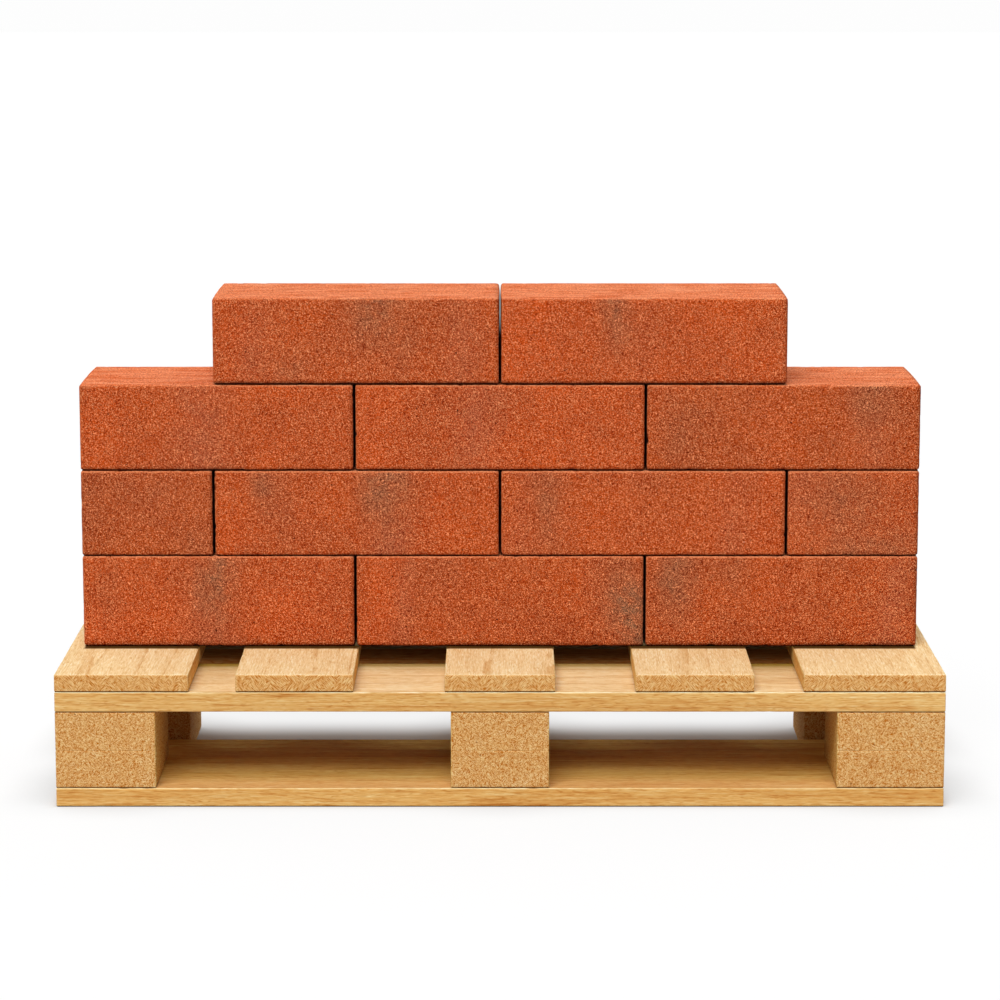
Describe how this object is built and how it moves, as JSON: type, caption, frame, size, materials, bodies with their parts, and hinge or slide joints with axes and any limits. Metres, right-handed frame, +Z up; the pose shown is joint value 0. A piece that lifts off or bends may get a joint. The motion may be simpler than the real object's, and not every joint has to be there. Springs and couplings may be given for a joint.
{
  "type": "pallet of bricks",
  "caption": "Small wooden block pallet carrying a dry-stacked, one-brick-deep wall of red clay bricks, with fork pockets open from front to back.",
  "frame": {"origin": "on the floor, at the centre of the pallet's footprint", "axes": "+X along the wall to the right, +Y from the front to the back, +Z up"},
  "size_m": [0.664, 0.2374, 0.372],
  "materials": {
    "brick": "rough fired clay",
    "board": "sawn pale softwood",
    "chip_block": "pressed wood chips"
  },
  "bodies": {
    "root": {"brick_1_left": "brick", "brick_1_middle": "brick", "brick_1_right": "brick", "brick_2_half_left": "brick", "brick_2_left": "brick", "brick_2_right": "brick", "brick_2_half_right": "brick", "brick_3_left": "brick", "brick_3_middle": "brick", "brick_3_right": "brick", "brick_4_left": "brick", "brick_4_right": "brick", "bottom_board_front": "board", "stringer_front": "board", "stringer_rear": "board", "deck_board_1": "board", "deck_board_2": "board", "deck_board_3": "board", "deck_board_4": "board", "deck_board_5": "board", "block_front_left": "chip_block", "block_front_centre": "chip_block", "block_front_right": "chip_block", "block_rear_left": "chip_block", "block_rear_centre": "chip_block", "block_rear_right": "chip_block"}
  },
  "joints": []
}
